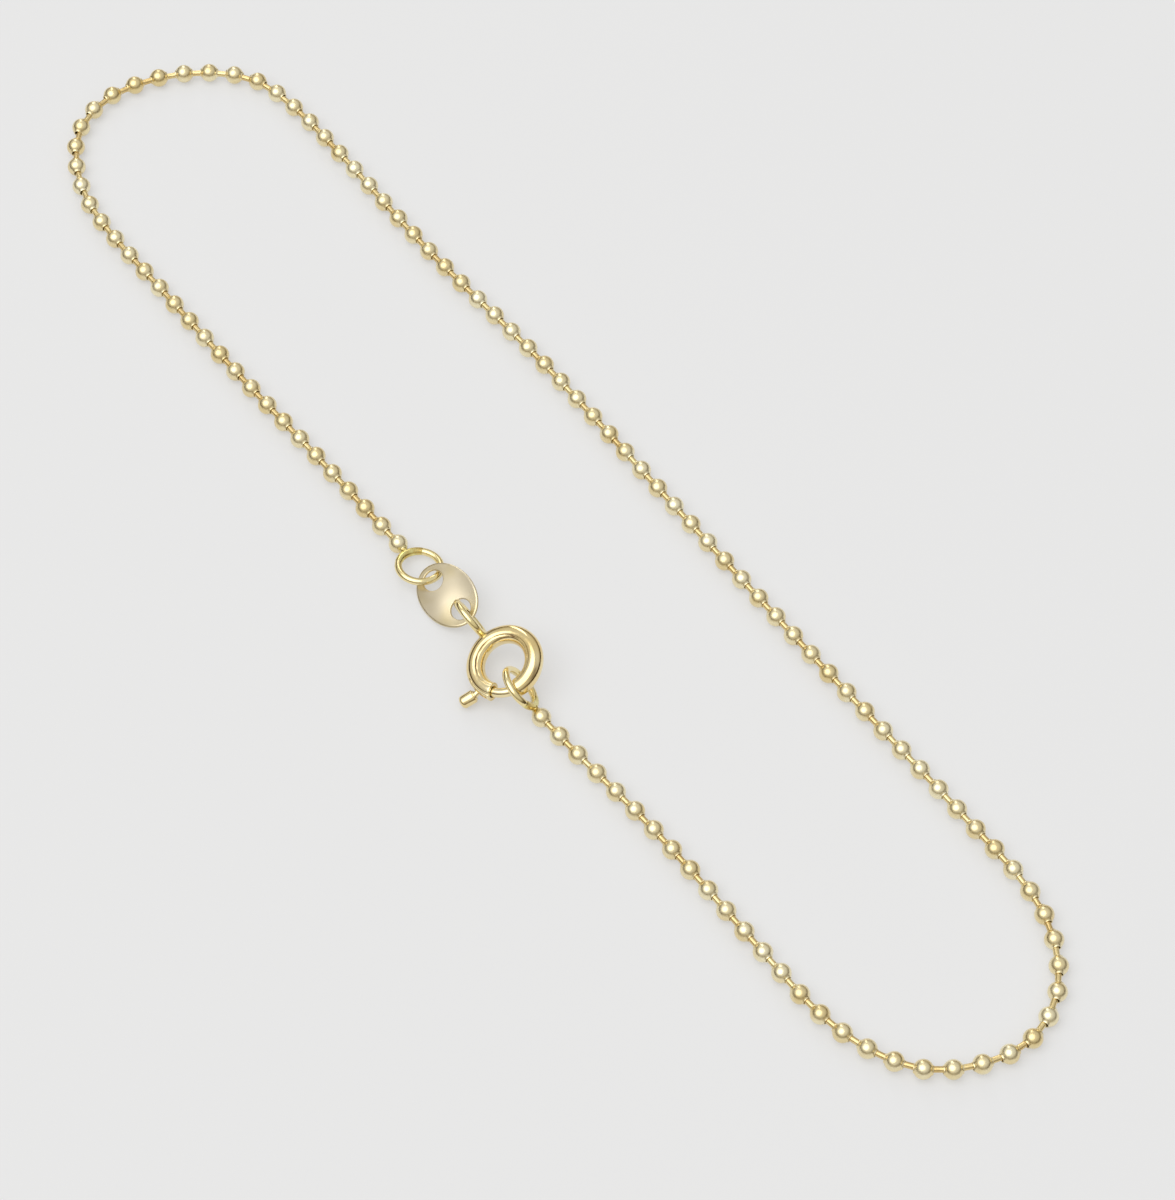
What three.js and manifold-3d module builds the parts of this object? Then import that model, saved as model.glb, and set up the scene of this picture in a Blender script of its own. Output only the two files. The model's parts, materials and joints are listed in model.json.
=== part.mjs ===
// Bead chain anklet with a spring ring clasp, lying fastened on a flat surface.
// Millimetres, +Z up, X along the loop. The origin is on the surface, under the middle of the piece.
import * as THREE from "three";
import { mergeVertices } from "three/addons/utils/BufferGeometryUtils.js";
import Module from "manifold-3d";

const wasm = await Module();
wasm.setup();

// The loop, over the outside of its beads
const loopLength = 115.2;
const loopWidth = 21.8;

// Beads, and the pins that join them
const beadDiameter = 1.5;
const pinDiameter = 0.5;
const pinShowing = 0.65;

// Wire rings: one soldered to each end of the chain, and one on the clasp
const ringOutside = 3.9;
const ringWire = 0.6;
const solderNeck = 0.1;
const solderSink = 0.12;

// Oval tag with a round hole near each end; its angles are in degrees
const tagLength = 6.2;
const tagWidth = 4.4;
const tagThickness = 0.25;
const tagHoleDiameter = 1.65;
const tagHoleRim = 0.5;
const tagRoll = 27;
const tagPitch = 4;

// Spring ring clasp: a bent tube with a gap. Angles are in degrees round its axis, from +X.
const claspOutside = 6.2;
const claspTube = 1.44;
const claspRoll = 22;
const claspPitch = 6;
const gapStart = -64;
const gapEnd = -16;

// Bolt in the clasp's bore, and the trigger that pulls it back through the slot
const boltDiameter = 0.76;
const boltEntry = 8;
const boltTail = 36;
const triggerAngle = -88;
const triggerLean = 18;
const triggerTravel = 57;
const triggerWidth = 1.05;
const triggerLength = 1.2;
const stemDiameter = 0.5;
const slotStart = -68;
const runningGap = 0.09;

// Place of the clasp's own ring, which is soldered on across the clasp's plane
const claspRingAngle = 174;

// How the pieces lie: places on the surface, and the end rings' angles in degrees
const restGap = 0.03;
const tagSlack = 0.15;
const tagRingRoll = -11;
const tagRingPull = 0.18;
const catchAngle = -12;
const catchInset = 0.15;
const catchTurn = 0;
const catchDip = 23;
const catchLean = 40;

// Middle of the clasp, and route of the chain between its first and its last bead, chosen by hand.
// They are shares of the half length and the half width that the beads' middles reach.
const claspPlace = [0.16, -0.985];
const route = [
  [-0.135, -0.926],
  [-0.283, -0.936],
  [-0.471, -0.961],
  [-0.66, -0.961],
  [-0.772, -0.961],
  [-0.848, -0.926],
  [-0.918, -0.793],
  [-0.975, -0.547],
  [-1, -0.187],
  [-0.989, 0.246],
  [-0.951, 0.631],
  [-0.895, 0.897],
  [-0.821, 0.98],
  [-0.704, 0.99],
  [-0.482, 0.961],
  [-0.215, 1],
  [0.091, 0.961],
  [0.392, 0.926],
  [0.69, 0.911],
  [0.841, 0.877],
  [0.912, 0.749],
  [0.971, 0.483],
  [1, 0.099],
  [0.987, -0.315],
  [0.946, -0.665],
  [0.883, -0.862],
  [0.809, -0.951],
  [0.697, -0.956],
  [0.471, -0.946],
  [0.322, -0.99],
];

// Sides of the meshed round forms, and in degrees, how far one straight step of a bent form turns
// and how far a cut runs past an end
const beadSides = 12;
const wireSides = 6;
const tubeSides = 12;
const boreSides = 10;
const degreesAStep = 12;
const fullTurn = 360;
const cutBeyond = 1;

const polishedGold = { color: 0xcbb87a, roughness: 0.22, metalness: 1 };
const satinGold = { color: 0xcdbf8e, roughness: 0.4, metalness: 1 };

const { degToRad, radToDeg } = THREE.MathUtils;
const vector = (x, y, z) => new THREE.Vector3(x, y, z);

// Sizes that follow from the ones above
const beadRadius = beadDiameter / 2;
const reach = [(loopLength - beadDiameter) / 2, (loopWidth - beadDiameter) / 2];
const ringRadius = (ringOutside - ringWire) / 2;
const claspRadius = (claspOutside - claspTube) / 2;
const tagHoleAt = tagLength / 2 - tagHoleRim - tagHoleDiameter / 2;
const claspBore = boltDiameter + 2 * runningGap;
const claspRingAt = claspOutside / 2 - solderSink + ringOutside / 2;
const triggerFoot = claspOutside / 2 + runningGap + (triggerWidth / 2) * Math.sin(degToRad(triggerLean));

// A group whose own plane is pitched to raise its +X side and rolled to raise its +Y side
function leaningGroup(roll, pitch, position) {
  const group = new THREE.Group();
  group.rotation.set(degToRad(roll), degToRad(-pitch), 0, "YXZ");
  group.position.copy(position);
  group.updateMatrix();
  return group;
}

// A point of a group's own frame, seen from outside the group
function pointIn(group, x, y, z) {
  return vector(x, y, z).applyMatrix4(group.matrix);
}

// A place on the loop from its shares of the half length and the half width
function place([lengthShare, widthShare], z) {
  return vector(lengthShare * reach[0], widthShare * reach[1], z);
}

function polar(radius, degrees, z) {
  return vector(radius * Math.cos(degToRad(degrees)), radius * Math.sin(degToRad(degrees)), z);
}

// Raises a group until its lowest mesh just clears the surface.
function rest(group) {
  group.updateMatrixWorld(true);
  const box = new THREE.Box3().setFromObject(group, true);
  group.position.z += restGap - box.min.z;
  group.updateMatrixWorld(true);
}

// The clasp rests on its trigger and on its own ring.
function placeClasp() {
  const group = leaningGroup(claspRoll, claspPitch, place(claspPlace, 0));
  group.add(piece("clasp_body", claspBody(), polishedGold));
  group.add(piece("clasp_bolt", claspBolt(), polishedGold));
  rest(group);
  return group;
}

// The tag rests on its low edge, with the far side of the clasp's ring in its second hole.
function placeTag(clasp) {
  const tip = polar(claspRingAt + ringRadius, claspRingAngle, 0).applyMatrix4(clasp.matrix);
  const group = leaningGroup(tagRoll, tagPitch, vector(tip.x + tagSlack - tagHoleAt, tip.y, 0));
  group.add(piece("tag", tagPlate(), satinGold));
  rest(group);
  return group;
}

// The first end ring goes through the tag's first hole, and comes down to the first bead.
function placeTagRing(tag) {
  const hook = pointIn(tag, -tagHoleAt - tagRingPull, 0, 0);
  const rise = Math.asin((hook.z - beadRadius) / (2 * ringRadius));
  hook.x -= ringRadius * Math.cos(rise);
  hook.z -= ringRadius * Math.sin(rise);
  return leaningGroup(tagRingRoll, radToDeg(rise), hook);
}

// The other end ring hangs on the clasp's tube beside the gap, and dips to the last bead.
function placeCatchRing(clasp) {
  const drop = ringRadius - ringWire / 2 - claspTube / 2 - runningGap;
  const group = new THREE.Group();
  const middle = polar(claspRadius - catchInset, catchAngle, -drop);
  group.position.copy(middle.applyMatrix4(clasp.matrix));
  group.rotation.set(degToRad(90 + catchLean), degToRad(catchDip), degToRad(catchTurn), "ZYX");
  group.updateMatrix();
  return group;
}

// A closed mesh for three.js, from sections with the same number of points. Points that
// coincide become one, and a face that they leave without an area is dropped.
function skin(sections, isLoop) {
  const sides = sections[0].length;
  const positions = [];
  const indices = [];
  const numbers = new Map();
  function numberOf(point) {
    const key = point.toArray().map((value) => value.toFixed(5)).join(" ");
    if (!numbers.has(key)) {
      numbers.set(key, positions.length / 3);
      positions.push(...point.toArray());
    }
    return numbers.get(key);
  }
  function addFace(a, b, c) {
    if (a !== b && b !== c && c !== a) {
      indices.push(a, b, c);
    }
  }
  const rows = sections.map((section) => section.map(numberOf));
  const last = rows[rows.length - 1];
  for (let i = isLoop ? 0 : 1; i < rows.length; i += 1) {
    const before = i === 0 ? last : rows[i - 1];
    for (let j = 0; j < sides; j += 1) {
      const k = (j + 1) % sides;
      addFace(before[j], rows[i][k], rows[i][j]);
      addFace(before[j], before[k], rows[i][k]);
    }
  }
  for (let j = 1; !isLoop && j + 1 < sides; j += 1) {
    addFace(rows[0][0], rows[0][j + 1], rows[0][j]);
    addFace(last[0], last[j], last[j + 1]);
  }
  const geometry = new THREE.BufferGeometry();
  geometry.setAttribute("position", new THREE.Float32BufferAttribute(positions, 3));
  geometry.setIndex(indices);
  return geometry;
}

// A closed geometry as a solid that can be joined and cut
function solid(geometry) {
  const bare = geometry.clone();
  bare.deleteAttribute("normal");
  bare.deleteAttribute("uv");
  const merged = mergeVertices(bare, 1e-5);
  return new wasm.Manifold(new wasm.Mesh({
    numProp: 3,
    vertProperties: new Float32Array(merged.attributes.position.array),
    triVerts: new Uint32Array(merged.index.array),
  }));
}

function geometryOf(joined) {
  const mesh = joined.getMesh();
  const geometry = new THREE.BufferGeometry();
  geometry.setAttribute("position", new THREE.Float32BufferAttribute(mesh.vertProperties, 3));
  geometry.setIndex(Array.from(mesh.triVerts));
  geometry.computeVertexNormals();
  return geometry;
}

// One section of the chain. A bead's has a point on each side, a pin's one for each two sides.
function chainSection(centre, along, radius, isPin) {
  const side = vector(0, 0, 1).cross(along).normalize();
  const up = along.clone().cross(side);
  const points = [];
  for (let j = 0; j < beadSides; j += 1) {
    const angle = ((isPin ? j - (j % 2) : j) / beadSides) * 2 * Math.PI;
    const point = centre.clone().addScaledVector(up, -radius * Math.cos(angle));
    points.push(point.addScaledVector(side, radius * Math.sin(angle)));
  }
  return points;
}

// The five sections of one bead, from the pin before it to the pin after it
function beadSections(centre, along) {
  const shoulder = Math.PI / 5;
  const pinRadius = pinDiameter / 2;
  const rows = [
    [-Math.sqrt(beadRadius ** 2 - pinRadius ** 2), pinRadius, true],
    [-beadRadius * Math.sin(shoulder), beadRadius * Math.cos(shoulder), false],
    [0, beadRadius, false],
    [beadRadius * Math.sin(shoulder), beadRadius * Math.cos(shoulder), false],
    [Math.sqrt(beadRadius ** 2 - pinRadius ** 2), pinRadius, true],
  ];
  return rows.map(([distance, radius, isPin]) => (
    chainSection(centre.clone().addScaledVector(along, distance), along, radius, isPin)
  ));
}

function pin(from, to) {
  const along = to.clone().sub(from).normalize();
  return solid(skin([from, to].map((end) => chainSection(end, along, pinDiameter / 2, true)), false));
}

// An end ring, with the pin that solders it to its bead on the ring's -X or +X side
function endRing(group, bead, side) {
  const ring = solid(wireRing().applyMatrix4(group.matrix));
  return ring.add(pin(bead, pointIn(group, side * ringRadius, 0, 0)));
}

// The bead that an end ring is soldered to lies on the surface.
function endBead(group, side) {
  const distance = ringOutside / 2 + solderNeck + beadRadius;
  return pointIn(group, side * distance, 0, 0).setZ(beadRadius);
}

// Beads at one even pitch along the route, with their pins and the two end rings
function beadChain(tagRing, catchRing) {
  const firstBead = endBead(tagRing, -1);
  const lastBead = endBead(catchRing, 1);
  const middle = route.map((shares) => place(shares, beadRadius));
  const curve = new THREE.CatmullRomCurve3([firstBead, ...middle, lastBead], false, "centripetal");
  curve.arcLengthDivisions = 4000;
  const steps = Math.round(curve.getLength() / (beadDiameter + pinShowing));
  const sections = [];
  for (let i = 0; i <= steps; i += 1) {
    sections.push(...beadSections(curve.getPointAt(i / steps), curve.getTangentAt(i / steps)));
  }
  const chain = solid(skin(sections, false));
  return geometryOf(chain.add(endRing(tagRing, firstBead, -1)).add(endRing(catchRing, lastBead, 1)));
}

function tagPlate() {
  const outline = new THREE.Shape();
  outline.absellipse(0, 0, tagLength / 2, tagWidth / 2, 0, 2 * Math.PI, false, 0);
  for (const side of [-1, 1]) {
    const hole = new THREE.Path();
    hole.absarc(side * tagHoleAt, 0, tagHoleDiameter / 2, 0, 2 * Math.PI, true);
    outline.holes.push(hole);
  }
  const plate = new THREE.ExtrudeGeometry(outline, {
    depth: tagThickness,
    bevelEnabled: false,
    curveSegments: tubeSides,
  });
  return geometryOf(solid(plate.translate(0, 0, -tagThickness / 2)));
}

// A rod bent about the clasp's axis, with half its size across and half its height given
function bentRod(middle, from, to, across, height, sides) {
  const steps = Math.ceil((to - from) / degreesAStep);
  const sections = [];
  for (let i = 0; i <= steps; i += 1) {
    const angle = from + ((to - from) * i) / steps;
    const points = [];
    for (let j = 0; j < sides; j += 1) {
      const turn = ((j + 0.5) / sides) * 2 * Math.PI;
      points.push(polar(middle + across * Math.cos(turn), angle, -height * Math.sin(turn)));
    }
    sections.push(points);
  }
  return solid(skin(sections, false));
}

// A ring of wire in its own plane
function wireRing() {
  const steps = Math.round(fullTurn / degreesAStep);
  return new THREE.TorusGeometry(ringRadius, ringWire / 2, wireSides, steps);
}

// The tube with its bore right through it, the trigger's slot on its outside, and its own ring
function claspBody() {
  const turn = fullTurn + gapStart;
  const slotHalfWidth = stemDiameter / 2 + runningGap;
  const slotEnd = triggerAngle - triggerTravel - radToDeg(slotHalfWidth / claspRadius);
  const outside = claspOutside / 2;
  const depth = (claspTube / 2) * Math.SQRT2;
  const slot = bentRod(outside, slotEnd, slotStart, depth, slotHalfWidth * Math.SQRT2, 4);
  const start = gapEnd - cutBeyond;
  const core = bentRod(claspRadius, start, turn + cutBeyond, claspBore / 2, claspBore / 2, boreSides);
  const tube = bentRod(claspRadius, gapEnd, turn, claspTube / 2, claspTube / 2, tubeSides);
  const ring = wireRing().rotateX(Math.PI / 2).translate(claspRingAt, 0, 0);
  const ringSolid = solid(ring.rotateZ(degToRad(claspRingAngle)));
  return geometryOf(tube.add(ringSolid).subtract(core).subtract(slot));
}

// A round form about its own Y axis, turned to stand at the trigger's angle
function turned(profile, lean, foot) {
  const points = profile.map(([radius, along]) => new THREE.Vector2(radius, along));
  const lathe = new THREE.LatheGeometry(points, boreSides).rotateZ(degToRad(triggerAngle - 90 - lean));
  return solid(lathe.translate(...polar(foot, triggerAngle, 0).toArray()));
}

// The bolt with its trigger: a stem through the slot, and a short round knob that leans back
function claspBolt() {
  const radius = boltDiameter / 2;
  const tail = triggerAngle - boltTail;
  const bolt = bentRod(claspRadius, tail, gapEnd + boltEntry, radius, radius, boreSides);
  const knobRadius = triggerWidth / 2;
  const roundEnd = knobRadius * 0.5;
  const stem = [
    [0, 0],
    [stemDiameter / 2, 0],
    [stemDiameter / 2, triggerFoot - claspRadius + triggerLength / 2],
    [0, triggerFoot - claspRadius + triggerLength / 2],
  ];
  const knob = [
    [0, 0],
    [knobRadius, 0],
    [knobRadius, triggerLength - roundEnd],
    [knobRadius * 0.8, triggerLength - roundEnd * 0.3],
    [0, triggerLength],
  ];
  return geometryOf(bolt.add(turned(stem, 0, claspRadius)).add(turned(knob, triggerLean, triggerFoot)));
}

function piece(name, geometry, look) {
  const mesh = new THREE.Mesh(geometry, new THREE.MeshStandardMaterial(look));
  mesh.name = name;
  return mesh;
}

const clasp = placeClasp();
const tag = placeTag(clasp);
const chain = piece("bead_chain", beadChain(placeTagRing(tag), placeCatchRing(clasp)), polishedGold);

const anklet = new THREE.Group();
anklet.add(chain, tag, clasp);
anklet.updateMatrixWorld(true);
const box = new THREE.Box3().setFromObject(anklet, true);
anklet.position.set(-(box.min.x + box.max.x) / 2, -(box.min.y + box.max.y) / 2, -box.min.z);

export default anklet;
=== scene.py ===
"""Looks of a gold bead chain anklet, with an oval tag and a spring ring clasp, on a pale surface."""

import json
import math

import bpy
import numpy as np
from mathutils import Matrix, Vector
from mathutils.geometry import tessellate_polygon


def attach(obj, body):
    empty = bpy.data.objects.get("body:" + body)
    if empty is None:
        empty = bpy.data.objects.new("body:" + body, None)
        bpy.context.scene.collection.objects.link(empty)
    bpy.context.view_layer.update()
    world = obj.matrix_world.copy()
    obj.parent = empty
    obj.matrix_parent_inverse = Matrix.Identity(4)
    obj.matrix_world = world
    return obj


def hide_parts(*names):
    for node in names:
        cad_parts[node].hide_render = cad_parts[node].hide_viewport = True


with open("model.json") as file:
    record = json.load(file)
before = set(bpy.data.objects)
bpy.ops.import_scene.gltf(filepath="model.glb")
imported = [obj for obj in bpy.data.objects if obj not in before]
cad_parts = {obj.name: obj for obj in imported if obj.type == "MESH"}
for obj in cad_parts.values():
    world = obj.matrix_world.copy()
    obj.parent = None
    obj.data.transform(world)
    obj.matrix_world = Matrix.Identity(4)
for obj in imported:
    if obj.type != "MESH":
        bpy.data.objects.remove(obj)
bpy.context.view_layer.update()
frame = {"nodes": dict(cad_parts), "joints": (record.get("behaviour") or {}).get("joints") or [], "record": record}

MM = 0.001
TINY = 1e-6
SHARP_ANGLE = 50
rad = math.radians

# Sizes in millimetres and angles in degrees, as in the part's source
BEAD_RADIUS = 0.75
BEAD_PITCH = 2.15
PIN_RADIUS = 0.25
PIN_HOLE = 0.29
PIN_START = 0.6
RING_OUTSIDE = 3.9
RING_WIRE = 0.6
RING_RADIUS = (RING_OUTSIDE - RING_WIRE) / 2
RING_TRIM = 0.01
SOLDER_NECK = 0.1
SOLDER_SINK = 0.12
TAG_LENGTH, TAG_WIDTH, TAG_THICKNESS = 6.2, 4.4, 0.25
TAG_HOLE_RADIUS = 0.825
TAG_HOLE_RIM = 0.5
TAG_HOLE_AT = TAG_LENGTH / 2 - TAG_HOLE_RIM - TAG_HOLE_RADIUS
TAG_RING_ROLL = -11
TAG_RING_PULL = 0.18
CLASP_OUTSIDE = 6.2
TUBE_RADIUS = 0.72
BORE_RADIUS = 0.47
CLASP_RADIUS = CLASP_OUTSIDE / 2 - TUBE_RADIUS
GAP_START, GAP_END = -64, -16
CLASP_RING_ANGLE = 174
CLASP_RING_AT = CLASP_OUTSIDE / 2 - SOLDER_SINK + RING_OUTSIDE / 2
BOLT_RADIUS = 0.38
BOLT_ENTRY, BOLT_TAIL = 8, 36
RUNNING_GAP = 0.09
TRIGGER_ANGLE, TRIGGER_LEAN, TRIGGER_TRAVEL = -88, 18, 57
TRIGGER_RADIUS, TRIGGER_LENGTH, STEM_RADIUS = 0.525, 1.2, 0.25
TRIGGER_FOOT = CLASP_OUTSIDE / 2 + RUNNING_GAP + TRIGGER_RADIUS * math.sin(rad(TRIGGER_LEAN))
SLOT_START = -68
SLOT_HALF = STEM_RADIUS + RUNNING_GAP
SLOT_END = TRIGGER_ANGLE - TRIGGER_TRAVEL - math.degrees(SLOT_HALF / CLASP_RADIUS)
CATCH_ANGLE, CATCH_INSET = -12, 0.15
CATCH_TURN, CATCH_DIP, CATCH_LEAN = 0, 23, 40

# Fine forms that only the looks have
BEAD_WOBBLE, WOBBLE_PACE = 0.03, 2.3
PIN_WAIST = 0.96
TAG_EDGE, HOLE_EDGE, TUBE_EDGE = 0.17, 0.08, 0.03
COLLAR_RADIUS, COLLAR_LENGTH, COLLAR_EDGE = 0.4, 0.1, 0.02
KNOB_EDGE, KNOB_ROUND, STEM_SINK = 0.08, 0.55, 0.3
SEAM_TURN, SEAM_DEPTH, SEAM_WIDTH = 115, 0.06, 4.5
LIP_TURN, LIP_DEPTH, LIP_WIDTH = 50, 0.1, 5
LIP_START, LIP_FADE = 252, 1.5

# Steps along round forms, and sides around them
BEAD_STEPS, BEAD_SIDES, PIN_SIDES = 13, 28, 12
RING_STEPS, WIRE_SIDES = 112, 20
SLEEVE_STEPS, SOLDER_SIDES = 48, 24
TAG_STEPS, HOLE_STEPS, EDGE_STEPS = 128, 64, 16
TUBE_ROWS, SLOT_ROWS = 75, 30
TUBE_COLUMNS, SLOT_COLUMNS = 101, 9
BOLT_STEPS, BOLT_SIDES = 48, 24
KNOB_STEPS, KNOB_SIDES, STEM_SIDES = 8, 40, 20

# The photo's camera: angles in degrees, places and distance in millimetres on the surface
CAMERA_AZIMUTH, CAMERA_ELEVATION = 52.1, 56.7
CAMERA_DISTANCE = 296.7
CAMERA_TARGET = (7.295, -0.675)
CLASP_THEN = (9.096, -9.998)
LENS, SENSOR = 115.5, 36


# Frames

def plane_frame(centre, normal):
    """A frame in millimetres whose Z is the normal and whose X has no Y part."""
    z = Vector(normal).normalized()
    x = Vector((z.z, 0, -z.x)).normalized()
    y = z.cross(x)
    turn = Matrix((x, y, z)).transposed().to_4x4()
    return Matrix.Translation(centre) @ turn


def leaning(roll, pitch, place):
    """A frame whose +Y side is rolled up and whose +X side is pitched up, in radians."""
    turn = Matrix.Rotation(-pitch, 4, "Y") @ Matrix.Rotation(roll, 4, "X")
    return Matrix.Translation(place) @ turn


def polar(radius, degrees, z=0.0):
    """A point at a distance and an angle from the Z axis."""
    return Vector((radius * math.cos(rad(degrees)), radius * math.sin(rad(degrees)), z))


joint = frame["joints"][0]
clasp = plane_frame(Vector(joint["pos_m"]) / MM, -Vector(joint["axis"]))
face = frame["record"]["mounts"][0]
tag_normal = Vector(face["axis"]).normalized()
tag = plane_frame(Vector(face["pos_m"]) / MM - tag_normal * TAG_THICKNESS / 2, tag_normal)

hook = tag @ Vector((-TAG_HOLE_AT - TAG_RING_PULL, 0, 0))
rise = math.asin((hook.z - BEAD_RADIUS) / (2 * RING_RADIUS))
tag_ring = leaning(rad(TAG_RING_ROLL), rise,
                   hook - RING_RADIUS * Vector((math.cos(rise), 0, math.sin(rise))))

catch_drop = RING_RADIUS - RING_WIRE / 2 - TUBE_RADIUS - RUNNING_GAP
catch_turn = (Matrix.Rotation(rad(CATCH_TURN), 4, "Z") @ Matrix.Rotation(rad(CATCH_DIP), 4, "Y")
              @ Matrix.Rotation(rad(90 + CATCH_LEAN), 4, "X"))
catch_ring = Matrix.Translation(
    clasp @ polar(CLASP_RADIUS - CATCH_INSET, CATCH_ANGLE, -catch_drop)) @ catch_turn

clasp_ring = clasp @ Matrix.Rotation(rad(CLASP_RING_ANGLE), 4, "Z") @ Matrix.Translation(
    (CLASP_RING_AT, 0, 0)) @ Matrix.Rotation(rad(90), 4, "X")


# Camera

def make_camera():
    """The camera keeps its place to the clasp, whose middle was at CLASP_THEN when it was fitted."""
    azimuth, elevation = rad(CAMERA_AZIMUTH), rad(CAMERA_ELEVATION)
    loop_shift = clasp.translation - Vector((*CLASP_THEN, clasp.translation.z))
    target = Vector((*CAMERA_TARGET, 0)) + loop_shift
    back = Vector((math.sin(azimuth) * math.cos(elevation),
                   -math.cos(azimuth) * math.cos(elevation), math.sin(elevation)))
    data = bpy.data.cameras.new("photo_camera")
    data.sensor_fit = "VERTICAL"
    data.sensor_height = SENSOR
    data.lens = LENS
    data.clip_start = 0.01
    camera = bpy.data.objects.new("photo_camera", data)
    camera.location = (target + back * CAMERA_DISTANCE) * MM
    camera.rotation_euler = back.to_track_quat("Z", "Y").to_euler()
    bpy.context.scene.collection.objects.link(camera)
    bpy.context.scene.camera = camera


make_camera()


# Mesh helpers

def shade(mesh):
    """Smooth shading, with sharp edges where the surface turns by more than SHARP_ANGLE."""
    mesh.polygons.foreach_set("use_smooth", [True] * len(mesh.polygons))
    mesh.set_sharp_from_angle(angle=rad(SHARP_ANGLE))
    mesh.update()


def bevel_edges(obj, width):
    """Rounds the sharp edges of a finished mesh a little."""
    bevel = obj.modifiers.new("edges", "BEVEL")
    bevel.width = width * MM
    bevel.segments = 3
    bevel.limit_method = "ANGLE"
    bevel.angle_limit = rad(55)
    bevel.use_clamp_overlap = False
    graph = bpy.context.evaluated_depsgraph_get()
    mesh = bpy.data.meshes.new_from_object(obj.evaluated_get(graph))
    obj.modifiers.clear()
    obj.data = mesh
    shade(mesh)


def add_object(name, vertices, faces, material, body, place=None):
    """A mesh from points in millimetres that rides on a body. A place moves the points."""
    points = np.asarray(vertices, float)
    if place is not None:
        matrix = np.array(place)
        points = points @ matrix[:3, :3].T + matrix[:3, 3]
    mesh = bpy.data.meshes.new(name)
    mesh.from_pydata((points * MM).tolist(), [], [list(map(int, f)) for f in faces])
    mesh.validate()
    shade(mesh)
    obj = bpy.data.objects.new(name, mesh)
    bpy.context.scene.collection.objects.link(obj)
    mesh.materials.append(material)
    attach(obj, body)
    return obj


def grid_faces(rows, columns, wrap_rows, wrap_columns, start=0):
    """Quads over a grid of points, with the last row or column joined to the first if asked."""
    faces = []
    for i in range(rows if wrap_rows else rows - 1):
        for j in range(columns if wrap_columns else columns - 1):
            a, b = i * columns, (i + 1) % rows * columns
            k = (j + 1) % columns
            faces.append((start + a + j, start + a + k, start + b + k, start + b + j))
    return faces


def revolved(profile, sides):
    """A surface turned about +X, from pairs of a distance along X and a radius. No radius closes it."""
    vertices, faces, rows = [], [], []
    for along, radius in profile:
        if radius < TINY:
            rows.append([len(vertices)] * sides)
            vertices.append((along, 0, 0))
            continue
        rows.append(range(len(vertices), len(vertices) + sides))
        turns = [2 * math.pi * j / sides for j in range(sides)]
        vertices += [(along, radius * math.cos(t), radius * math.sin(t)) for t in turns]
    for low, high in zip(rows, rows[1:]):
        for j in range(sides):
            k = (j + 1) % sides
            corners = [low[j], high[j], high[k], low[k]]
            faces.append(list(dict.fromkeys(corners)))
    return np.array(vertices, float), faces


def copies(vertices, faces, matrices):
    """One mesh from copies of a small one."""
    moves = [np.array(m) for m in matrices]
    points = np.concatenate([vertices @ m[:3, :3].T + m[:3, 3] for m in moves])
    shift = len(vertices)
    return points, [[v + i * shift for v in f] for i in range(len(matrices)) for f in faces]


def torus(radius, wire, steps, sides):
    """A round ring of round wire about Z."""
    vertices = []
    for i in range(steps):
        turn = 2 * math.pi * i / steps
        for j in range(sides):
            around = 2 * math.pi * j / sides
            out = radius + wire * math.cos(around)
            vertices.append((out * math.cos(turn), out * math.sin(turn), wire * math.sin(around)))
    faces = [tuple(reversed(f)) for f in grid_faces(steps, sides, True, True)]
    return vertices, faces


def facing(start, end):
    """A frame at a start point whose X looks to an end point."""
    x = (Vector(end) - Vector(start)).normalized()
    y = Vector((0, 0, 1)).cross(x)
    y = Vector((0, 1, 0)) if y.length < TINY else y.normalized()
    turn = Matrix((x, y, x.cross(y))).transposed().to_4x4()
    return Matrix.Translation(start) @ turn


# Materials

COAT_WEIGHT, COAT_ROUGHNESS = 0.5, 0.12
GRAIN_DEPTH = 0.00002
SWELL_SCALE = 260


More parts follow.
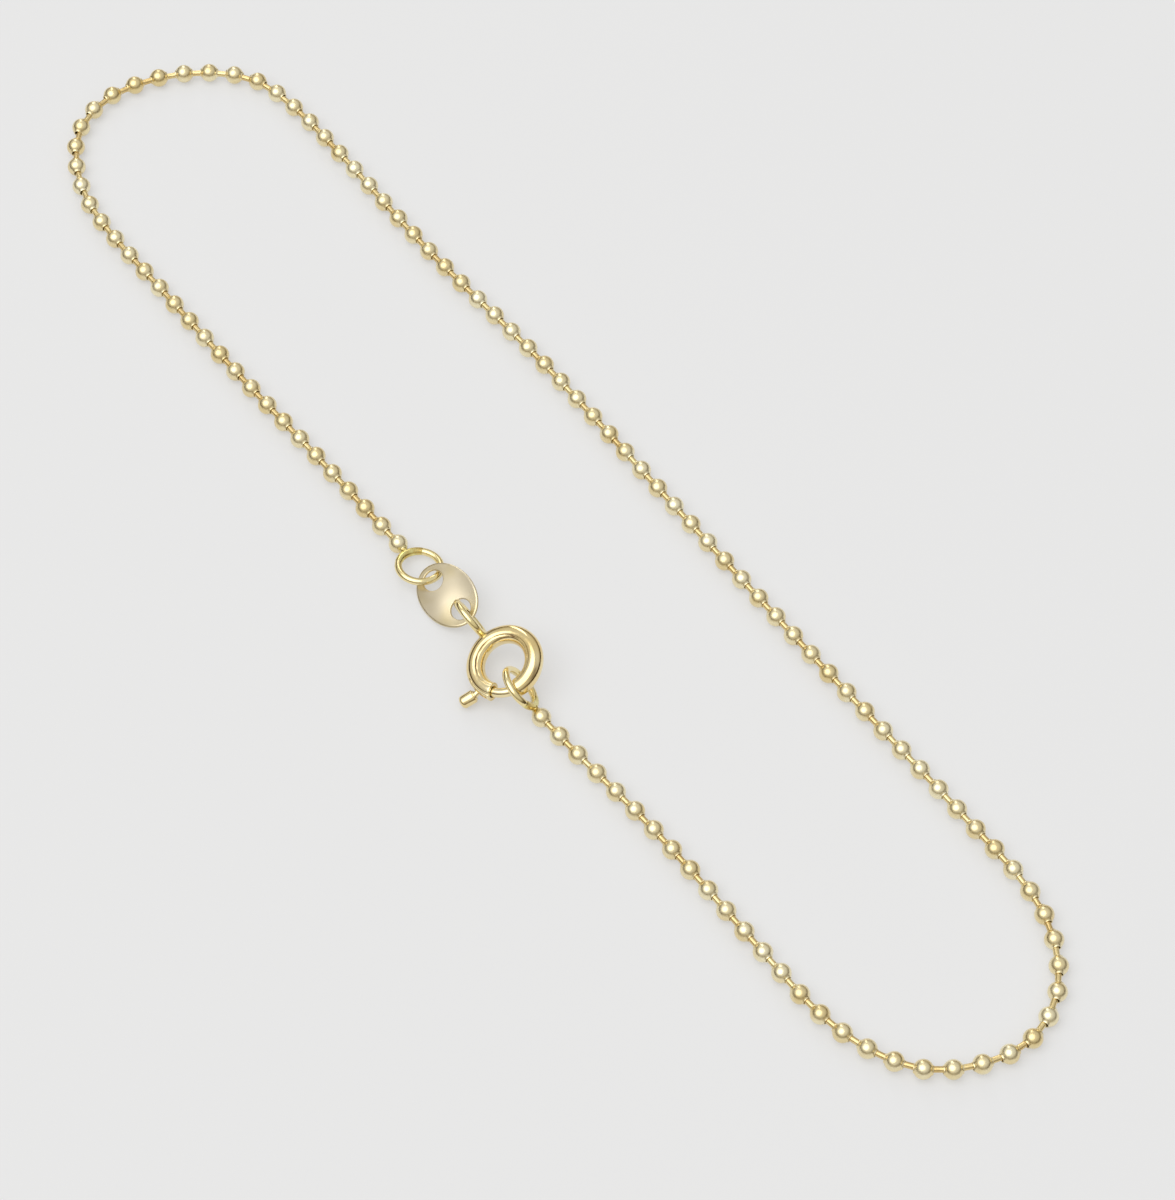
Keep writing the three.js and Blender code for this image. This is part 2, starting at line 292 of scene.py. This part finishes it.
def gold(name, light, deep, roughness, grain, bump, swell=0, patch=420):
    """Gold with a slow change of tone, fine roughness marks and a fine uneven surface.

    Scales are in cycles a metre: patch for the tone, grain for the marks. A swell, in metres, also
    makes the surface wavy over a few millimetres.
    """
    material = bpy.data.materials.new(name)
    material.use_nodes = True
    nodes, links = material.node_tree.nodes, material.node_tree.links
    shader = nodes["Principled BSDF"]
    shader.inputs["Metallic"].default_value = 1.0
    shader.inputs["Coat Weight"].default_value = COAT_WEIGHT
    shader.inputs["Coat Roughness"].default_value = COAT_ROUGHNESS
    place = nodes.new("ShaderNodeTexCoord")
    slow = nodes.new("ShaderNodeTexNoise")
    slow.inputs["Scale"].default_value = patch
    slow.inputs["Detail"].default_value = 2
    links.new(place.outputs["Object"], slow.inputs["Vector"])
    tone = nodes.new("ShaderNodeValToRGB")
    tone.color_ramp.elements[0].position = 0.35
    tone.color_ramp.elements[0].color = (*deep, 1)
    tone.color_ramp.elements[1].position = 0.65
    tone.color_ramp.elements[1].color = (*light, 1)
    links.new(slow.outputs["Fac"], tone.inputs["Fac"])
    links.new(tone.outputs["Color"], shader.inputs["Base Color"])
    fine = nodes.new("ShaderNodeTexNoise")
    fine.inputs["Scale"].default_value = grain
    fine.inputs["Detail"].default_value = 4
    links.new(place.outputs["Object"], fine.inputs["Vector"])
    spread = nodes.new("ShaderNodeMapRange")
    spread.inputs["From Min"].default_value = 0.3
    spread.inputs["From Max"].default_value = 0.7
    spread.inputs["To Min"].default_value = roughness[0]
    spread.inputs["To Max"].default_value = roughness[1]
    links.new(fine.outputs["Fac"], spread.inputs["Value"])
    links.new(spread.outputs["Result"], shader.inputs["Roughness"])
    uneven = nodes.new("ShaderNodeBump")
    uneven.inputs["Strength"].default_value = bump
    uneven.inputs["Distance"].default_value = GRAIN_DEPTH
    links.new(fine.outputs["Fac"], uneven.inputs["Height"])
    links.new(uneven.outputs["Normal"], shader.inputs["Normal"])
    if swell:
        waves = nodes.new("ShaderNodeTexNoise")
        waves.inputs["Scale"].default_value = SWELL_SCALE
        waves.inputs["Detail"].default_value = 0
        links.new(place.outputs["Object"], waves.inputs["Vector"])
        wavy = nodes.new("ShaderNodeBump")
        wavy.inputs["Distance"].default_value = swell
        links.new(waves.outputs["Fac"], wavy.inputs["Height"])
        links.new(wavy.outputs["Normal"], uneven.inputs["Normal"])
    return material


def add_painted_dark_reflection(material, color):
    """Darkens a gold where its mesh carries painted dark reflections."""
    nodes, links = material.node_tree.nodes, material.node_tree.links
    base = nodes["Principled BSDF"].inputs["Base Color"]
    clean = base.links[0].from_socket
    # Each point's share of painted dark reflection, read from the mesh
    dark_reflection_mask = nodes.new("ShaderNodeAttribute")
    dark_reflection_mask.attribute_name = "painted_dark_reflection"
    mix = nodes.new("ShaderNodeMixRGB")
    mix.inputs["Color2"].default_value = (*color, 1)
    links.new(dark_reflection_mask.outputs["Fac"], mix.inputs["Fac"])
    links.new(clean, mix.inputs["Color1"])
    links.new(mix.outputs["Color"], base)


bead_gold = gold("bead_gold", light=(0.95, 0.86, 0.58), deep=(0.85, 0.69, 0.35),
                 roughness=(0.28, 0.38), grain=2600, bump=0.3)
pin_gold = gold("pin_gold", light=(0.88, 0.72, 0.36), deep=(0.76, 0.55, 0.22),
                roughness=(0.24, 0.38), grain=2600, bump=0.3)
ring_gold = gold("ring_gold", light=(0.95, 0.82, 0.46), deep=(0.91, 0.75, 0.35),
                 roughness=(0.12, 0.24), grain=2200, bump=0.3)
clasp_gold = gold("clasp_gold", light=(0.95, 0.82, 0.49), deep=(0.87, 0.67, 0.30),
                  roughness=(0.09, 0.20), grain=1800, bump=0.25)
solder_gold = gold("solder_gold", light=(0.84, 0.76, 0.30), deep=(0.62, 0.42, 0.11),
                   roughness=(0.18, 0.34), grain=2600, bump=0.5, patch=1400)
tag_gold = gold("tag_gold", light=(0.80, 0.70, 0.50), deep=(0.69, 0.58, 0.34),
                roughness=(0.26, 0.33), grain=500, bump=0.03, swell=0.0007)
# The clasp's gold turns brown where its tube carries painted dark reflections
add_painted_dark_reflection(clasp_gold, (0.17, 0.085, 0.02))


# Chain

LOWEST = 0.001


def bead_centres():
    """The beads' centres, in order from the tag: each bead's lowest CAD point is on the surface."""
    mesh = frame["nodes"]["bead_chain"].data
    points = np.array([v.co for v in mesh.vertices]) / MM
    low = points[points[:, 2] < LOWEST]
    low = np.unique(np.round(low, 3), axis=0)
    left = [Vector((x, y, BEAD_RADIUS)) for x, y, _ in low]
    here = tag_ring @ Vector((-RING_RADIUS, 0, 0))
    ordered = []
    while left:
        here = min(left, key=lambda p: (p - here).length)
        left.remove(here)
        ordered.append(here)
    return ordered


def bead_profile():
    """Half round from pin hole to pin hole, with a small raised collar round each hole."""
    hole = [(PIN_START, PIN_HOLE - 0.02), (0.715, PIN_HOLE - 0.01), (0.735, PIN_HOLE + 0.02),
            (0.728, PIN_HOLE + 0.06), (0.69, PIN_HOLE + 0.075)]
    turns = np.linspace(rad(30), rad(150), BEAD_STEPS)
    middle = [(-BEAD_RADIUS * math.cos(t), BEAD_RADIUS * math.sin(t)) for t in turns]
    return [(-a, r) for a, r in hole] + middle + [(a, r) for a, r in reversed(hole)]


def make_beads(centres):
    """A bead at each centre, turned along the chain and a little crooked."""
    frames = []
    for i, centre in enumerate(centres):
        before, after = centres[max(i - 1, 0)], centres[min(i + 1, len(centres) - 1)]
        along = facing(centre, centre + (after - before))
        wobble = Matrix.Rotation(BEAD_WOBBLE * math.sin(WOBBLE_PACE * i), 4, "Z")
        frames.append(along @ wobble)
    points, faces = copies(*revolved(bead_profile(), BEAD_SIDES), frames)
    beads = add_object("chain_beads", points, faces, bead_gold, "anklet")
    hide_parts("bead_chain")


def make_pins(centres):
    """A pin between each two beads, a little thinner in its middle."""
    pins = []
    for start, end in zip(centres, centres[1:]):
        pins.append(facing(start, end) @ Matrix.Scale((end - start).length, 4, (1, 0, 0)))
    share = PIN_START / BEAD_PITCH
    bar = [(share, PIN_RADIUS), (0.5, PIN_RADIUS * PIN_WAIST), (1 - share, PIN_RADIUS)]
    points, faces = copies(*revolved(bar, PIN_SIDES), pins)
    add_object("chain_pins", points, faces, pin_gold, "anklet")


def make_ring(name, place):
    """A round wire ring."""
    vertices, faces = torus(RING_RADIUS, RING_WIRE / 2 - RING_TRIM, RING_STEPS, WIRE_SIDES)
    add_object(name, vertices, faces, ring_gold, "anklet", place=place)


def make_solder_sleeve(name, middle, place):
    """Solder that has run along a ring's wire to both sides of its joint, thickest at the joint."""
    spread, thick, sunk = 44, 0.035, 0.012
    vertices = []
    for i in range(SLEEVE_STEPS + 1):
        share = 2 * i / SLEEVE_STEPS - 1
        angle = middle + spread * share
        extra = thick * (1 - share ** 2) ** 0.5 - sunk
        wire = RING_WIRE / 2 + extra
        for j in range(WIRE_SIDES):
            around = 2 * math.pi * j / WIRE_SIDES
            spot = polar(RING_RADIUS + wire * math.cos(around), angle, wire * math.sin(around))
            vertices.append(tuple(spot))
    faces = [tuple(reversed(f)) for f in grid_faces(SLEEVE_STEPS + 1, WIRE_SIDES, False, True)]
    add_object(name, vertices, faces, solder_gold, "anklet", place=place)


def make_solder(name, start, end):
    """A small fillet of solder from an end ring's wire to its bead."""
    reach = RING_WIRE / 2 + SOLDER_NECK + BEAD_RADIUS
    profile = [(0.05, 0.26), (0.15, 0.31), (0.23, 0.305), (0.31, 0.28), (0.36, 0.27),
               (0.41, 0.29), (0.46, 0.34), (0.51, 0.41), (0.58, 0.44)]
    shift = (Vector(end) - Vector(start)).length - reach
    vertices, faces = revolved([(a + shift / 2, r) for a, r in profile], SOLDER_SIDES)
    add_object(name, vertices, faces, solder_gold, "anklet",
               place=facing(start, end))


# Tag

def flat_face(outlines, start, upward):
    """The points and triangles of a flat face with holes. Its first point has the number start."""
    points = [v for outline in outlines for v in outline]
    faces = []
    for a, b, c in tessellate_polygon(outlines):
        normal = (points[b] - points[a]).cross(points[c] - points[a])
        if (normal.z > 0) != upward:
            a, b = b, a
        faces.append((start + a, start + b, start + c))
    return [tuple(v) for v in points], faces


def make_tag():
    """An oval plate with rounded edges and two holes.

    Each loop has its middle, half length, half width, steps, side of the metal and width of its edge.
    """
    turns = [math.pi * k / EDGE_STEPS for k in range(EDGE_STEPS + 1)]
    loops = [(0, TAG_LENGTH / 2, TAG_WIDTH / 2, TAG_STEPS, 1, TAG_EDGE),
             (-TAG_HOLE_AT, TAG_HOLE_RADIUS, TAG_HOLE_RADIUS, HOLE_STEPS, -1, HOLE_EDGE),
             (TAG_HOLE_AT, TAG_HOLE_RADIUS, TAG_HOLE_RADIUS, HOLE_STEPS, -1, HOLE_EDGE)]
    vertices, faces = [], []
    tops, bottoms = [], []
    for middle, long, short, steps, side, edge in loops:
        start = len(vertices)
        rows = [(edge * (1 - math.sin(t)), TAG_THICKNESS / 2 * math.cos(t)) for t in turns]
        for inset, z in rows:
            for i in range(steps):
                turn = 2 * math.pi * i / steps
                normal = Vector((math.cos(turn) / long, math.sin(turn) / short)).normalized()
                vertices.append((middle + long * math.cos(turn) - side * inset * normal.x,
                                 short * math.sin(turn) - side * inset * normal.y, z))
        quads = grid_faces(len(rows), steps, False, True, start)
        faces += quads if side < 0 else [tuple(reversed(f)) for f in quads]
        tops.append([Vector(v) for v in vertices[start:start + steps]])
        bottoms.append([Vector(v) for v in vertices[-steps:]])
    for outlines, upward in ((tops, True), (bottoms, False)):
        points, triangles = flat_face(outlines, len(vertices), upward)
        vertices += points
        faces += triangles
    plate = add_object("tag_plate", vertices, faces, tag_gold, "anklet", place=tag)
    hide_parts("tag")


# Clasp

def on_tube(angle, around, radius):
    """A point round the clasp's tube: around is 0 on the outside and 90 on top."""
    out = CLASP_RADIUS + radius * math.cos(rad(around))
    return tuple(polar(out, angle, radius * math.sin(rad(around))))


def tube_turns(slot_angle):
    """Angles round the tube, with lines along the slot's two edges."""
    slot = np.linspace(-slot_angle, slot_angle, SLOT_COLUMNS)
    rest = np.linspace(slot_angle, 360 - slot_angle, TUBE_COLUMNS)[1:-1]
    return list(slot) + list(rest)


def tube_groove(angle, turn):
    """Depth of the fine seam along the tube's inside, and of the lip line beside the slot."""
    wear = 0.7 + 0.3 * math.sin(rad(6 * angle)) * math.cos(rad(11 * angle))
    seam = SEAM_DEPTH * wear * math.exp(-((turn - SEAM_TURN) / SEAM_WIDTH) ** 2)
    fade = 1 / (1 + math.exp((LIP_START - angle) / LIP_FADE))
    lip = LIP_DEPTH * math.exp(-((turn - LIP_TURN) / LIP_WIDTH) ** 2) * fade
    return seam + lip


def tube_painted_dark_reflection(angle, turn):
    """Painted dark reflections, brown: streaks along the seam, and one on the outside near the catch ring.

    Each has its angle, its turn round the tube, its reach along and round the tube, and its strength.
    """
    dark_streaks = [(116, 117, 10, 7, 1.5), (185, 114, 14, 8, 1.0), (225, 112, 24, 7, 1.5),
              (20, 42, 15, 13, 0.9)]
    amount = 0
    for at, around, wide, high, strength in dark_streaks:
        away = (angle - at + 180) % 360 - 180
        amount += strength * math.exp(-(away / wide) ** 2 - ((turn - around) / high) ** 2)
    streaks = 0.75 + 0.25 * math.sin(rad(17 * angle)) * math.cos(rad(13 * turn + 5 * angle))
    return min(1, amount * streaks)


def tube_wall(angles, radius):
    """The points of the tube's outside or of its bore, a row at each angle, and their painted dark reflection."""
    outside = radius == TUBE_RADIUS
    turns = tube_turns(math.degrees(math.asin(SLOT_HALF / radius)))
    points, painted_dark_reflection = [], []
    for angle in angles:
        for turn in turns:
            groove = tube_groove(angle, turn) if outside else 0
            points.append(on_tube(angle, turn, radius - groove))
            painted_dark_reflection.append(tube_painted_dark_reflection(angle, turn) if outside else 0)
    return points, painted_dark_reflection


def tube_faces(rows, columns, low, high):
    """The faces of both walls, and the strips that join them at the tube's ends and round the slot.

    The slot is open from row low to row high, and from the first column to slot_edge.
    """
    bore = rows * columns
    slot_edge = SLOT_COLUMNS - 1
    last = rows - 1
    faces = []
    for base in (0, bore):
        for i in range(last):
            for j in range(columns):
                if low <= i < high and j < slot_edge:
                    continue
                k = (j + 1) % columns
                quad = (base + i * columns + j, base + (i + 1) * columns + j,
                        base + (i + 1) * columns + k, base + i * columns + k)
                faces.append(quad if base == bore else tuple(reversed(quad)))

    def bridge(first, second):
        """A wall from a line on the outside to the same line on the bore."""
        faces.append((first, second, bore + second, bore + first))

    for j in range(columns):
        k = (j + 1) % columns
        bridge(k, j)
        bridge(last * columns + j, last * columns + k)
    for j in range(slot_edge):
        bridge(low * columns + j, low * columns + j + 1)
        bridge(high * columns + j + 1, high * columns + j)
    for i in range(low, high):
        bridge((i + 1) * columns, i * columns)
        bridge(i * columns + slot_edge, (i + 1) * columns + slot_edge)
    return faces


def make_clasp_tube():
    """The tube with its bore, the slot along its outside, and a fine seam along its inside."""
    slot_from, slot_to = 360 + SLOT_END, 360 + SLOT_START
    angles = list(np.linspace(GAP_END, slot_from, TUBE_ROWS))
    angles += list(np.linspace(slot_from, slot_to, SLOT_ROWS))[1:] + [360 + GAP_START]
    outside, outside_painted_dark_reflection = tube_wall(angles, TUBE_RADIUS)
    bore, bore_painted_dark_reflection = tube_wall(angles, BORE_RADIUS)
    faces = tube_faces(len(angles), len(outside) // len(angles),
                       TUBE_ROWS - 1, TUBE_ROWS + SLOT_ROWS - 2)
    tube = add_object("clasp_tube", outside + bore, faces, clasp_gold, "anklet",
                      place=clasp)
    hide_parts("clasp_body")
    # Painted dark reflections, brown, stored as a value on each point of the tube
    painted_dark_reflection = tube.data.attributes.new("painted_dark_reflection", "FLOAT", "POINT")
    painted_dark_reflection.data.foreach_set("value", outside_painted_dark_reflection + bore_painted_dark_reflection)
    bevel_edges(tube, TUBE_EDGE)


def make_clasp_ring():
    """The wire ring across the tube's outside, with the solder that holds it."""
    make_ring("clasp_ring", clasp_ring)
    surface = CLASP_OUTSIDE / 2
    profile = [(surface - 0.2, 0.50), (surface - 0.1, 0.47), (surface - 0.02, 0.41),
               (surface + 0.06, 0.35), (surface + 0.14, 0.315), (surface + 0.26, 0.28)]
    points, faces = revolved(profile, SOLDER_SIDES)
    add_object("solder_clasp", points, faces, solder_gold, "anklet",
               place=clasp @ Matrix.Rotation(rad(CLASP_RING_ANGLE), 4, "Z"))


def make_bolt_wire():
    """The curved bolt wire, with a rounded tip."""
    start, end = TRIGGER_ANGLE - BOLT_TAIL, GAP_END + BOLT_ENTRY
    angles = list(np.linspace(start, end, BOLT_STEPS))
    vertices = []
    tip_share, tip_length = 0.55, 0.2
    for angle in angles:
        left = rad(end - angle) * CLASP_RADIUS
        radius = BOLT_RADIUS * min(1, tip_share + left / tip_length)
        vertices += [on_tube(angle, 360 * j / BOLT_SIDES, radius) for j in range(BOLT_SIDES)]
    faces = grid_faces(len(angles), BOLT_SIDES, False, True)
    faces.append(tuple(range(BOLT_SIDES))[::-1])
    faces.append(tuple(range(len(vertices) - BOLT_SIDES, len(vertices))))
    bolt = add_object("bolt_wire", vertices, faces, clasp_gold, "bolt", place=clasp)
    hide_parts("clasp_bolt")


def make_trigger():
    """A round knob that leans back, with a small collar at its foot, on a short stem."""
    foot = polar(TRIGGER_FOOT, TRIGGER_ANGLE)
    round_end = TRIGGER_RADIUS * KNOB_ROUND
    profile = [(-COLLAR_LENGTH, 0), (-COLLAR_LENGTH, COLLAR_RADIUS - COLLAR_EDGE),
               (COLLAR_EDGE - COLLAR_LENGTH, COLLAR_RADIUS), (0, COLLAR_RADIUS),
               (0, TRIGGER_RADIUS - KNOB_EDGE), (0.02, TRIGGER_RADIUS - 0.03),
               (KNOB_EDGE, TRIGGER_RADIUS)]
    for k in range(KNOB_STEPS + 1):
        turn = rad(90 * k / KNOB_STEPS)
        profile.append((TRIGGER_LENGTH - round_end + round_end * math.sin(turn),
                        TRIGGER_RADIUS - round_end + round_end * math.cos(turn)))
    profile.append((TRIGGER_LENGTH, 0))
    points, faces = revolved(profile, KNOB_SIDES)
    lean = clasp @ Matrix.Translation(foot)
    lean = lean @ Matrix.Rotation(rad(TRIGGER_ANGLE - TRIGGER_LEAN), 4, "Z")
    add_object("trigger_knob", points, faces, clasp_gold, "bolt", place=lean)

    reach = TRIGGER_FOOT - CLASP_RADIUS + STEM_SINK
    points, faces = revolved([(0, STEM_RADIUS), (reach, STEM_RADIUS)], STEM_SIDES)
    stem = clasp @ Matrix.Translation(polar(CLASP_RADIUS, TRIGGER_ANGLE)) @ Matrix.Rotation(
        rad(TRIGGER_ANGLE), 4, "Z")
    add_object("trigger_stem", points, faces, clasp_gold, "bolt", place=stem)


bead_row = bead_centres()
make_beads(bead_row)
make_pins(bead_row)
make_ring("end_ring_tag", tag_ring)
make_ring("end_ring_catch", catch_ring)
make_solder_sleeve("solder_sleeve_tag", 180, tag_ring)
make_solder_sleeve("solder_sleeve_catch", 0, catch_ring)
make_solder("solder_tag_end", tag_ring @ Vector((-RING_RADIUS, 0, 0)), bead_row[0])
make_solder("solder_catch_end", catch_ring @ Vector((RING_RADIUS, 0, 0)), bead_row[-1])
make_tag()
make_clasp_tube()
make_clasp_ring()
make_bolt_wire()
make_trigger()


# Floor and light

def make_floor():
    """A plain pale floor with a little painted glow, which lightens the shadows on it."""
    size = 1.5
    corners = [(-size, -size, 0), (size, -size, 0), (size, size, 0), (-size, size, 0)]
    mesh = bpy.data.meshes.new("floor")
    mesh.from_pydata(corners, [], [(0, 1, 2, 3)])
    floor = bpy.data.objects.new("floor", mesh)
    bpy.context.scene.collection.objects.link(floor)
    material = bpy.data.materials.new("pale_floor")
    material.use_nodes = True
    nodes, links = material.node_tree.nodes, material.node_tree.links
    shader = nodes["Principled BSDF"]
    shader.inputs["Roughness"].default_value = 0.9
    shader.inputs["Specular IOR Level"].default_value = 0.1
    # Painted glow: the floor gives off light of its own, which fills in the shadows cast on it
    shader.inputs["Emission Color"].default_value = (1, 1, 1, 1)
    shader.inputs["Emission Strength"].default_value = 0.4
    noise = nodes.new("ShaderNodeTexNoise")
    noise.inputs["Scale"].default_value = 6
    tone = nodes.new("ShaderNodeValToRGB")
    tone.color_ramp.elements[0].color = (0.397, 0.398, 0.399, 1)
    tone.color_ramp.elements[1].color = (0.402, 0.403, 0.404, 1)
    links.new(noise.outputs["Fac"], tone.inputs["Fac"])
    links.new(tone.outputs["Color"], shader.inputs["Base Color"])
    mesh.materials.append(material)


def make_light(name, place, size, power):
    """A soft light at a place in metres, turned to the origin, with a power in watts."""
    data = bpy.data.lights.new(name, "AREA")
    data.shape = "ELLIPSE"
    data.size, data.size_y = size
    data.energy = power
    light = bpy.data.objects.new(name, data)
    light.location = place
    light.rotation_euler = Vector(place).to_track_quat("Z", "Y").to_euler()
    bpy.context.scene.collection.objects.link(light)


def sky_ramp(nodes, links, height, stops):
    """Colours that change with the height of a direction above the horizon."""
    ramp = nodes.new("ShaderNodeValToRGB")
    elements = ramp.color_ramp.elements
    while len(elements) < len(stops):
        elements.new(0.5)
    for element, (position, color) in zip(elements, stops):
        element.position = position
        element.color = (*color, 1)
    links.new(height, ramp.inputs["Fac"])
    return ramp.outputs["Color"]


def make_world():
    """A pale studio, bright above, with a warm dark band low down, darkest in two opposite corners."""
    world = bpy.data.worlds.new("studio")
    world.use_nodes = True
    nodes, links = world.node_tree.nodes, world.node_tree.links
    place = nodes.new("ShaderNodeTexCoord")
    split = nodes.new("ShaderNodeSeparateXYZ")
    links.new(place.outputs["Generated"], split.inputs["Vector"])
    upper = [(0.38, (0.50, 0.48, 0.44)), (0.6, (0.68, 0.68, 0.68)), (1.0, (0.68, 0.68, 0.68))]
    dark = [(0.0, (0.035, 0.018, 0.005)), (0.22, (0.06, 0.035, 0.011))] + upper
    light = [(0.0, (0.20, 0.15, 0.09)), (0.22, (0.27, 0.22, 0.14))] + upper
    side = nodes.new("ShaderNodeMath")
    links.new(split.outputs["X"], side.inputs[0])
    links.new(split.outputs["Y"], side.inputs[1])
    across = nodes.new("ShaderNodeMath")
    across.operation = "ABSOLUTE"
    links.new(side.outputs["Value"], across.inputs[0])
    share = nodes.new("ShaderNodeMapRange")
    share.inputs["From Min"].default_value = 0.5
    share.inputs["From Max"].default_value = 1.1
    links.new(across.outputs["Value"], share.inputs["Value"])
    mix = nodes.new("ShaderNodeMixRGB")
    links.new(share.outputs["Result"], mix.inputs["Fac"])
    links.new(sky_ramp(nodes, links, split.outputs["Z"], light), mix.inputs["Color1"])
    links.new(sky_ramp(nodes, links, split.outputs["Z"], dark), mix.inputs["Color2"])
    links.new(mix.outputs["Color"], nodes["Background"].inputs["Color"])
    bpy.context.scene.world = world


make_floor()
make_world()
make_light("overhead_softbox", (-0.05, -0.42, 1.15), (1.5, 1.5), 8.0)
make_light("side_strip", (-0.9, 0.5, 0.5), (0.25, 0.9), 1.2)
bpy.context.scene.view_settings.view_transform = "Standard"
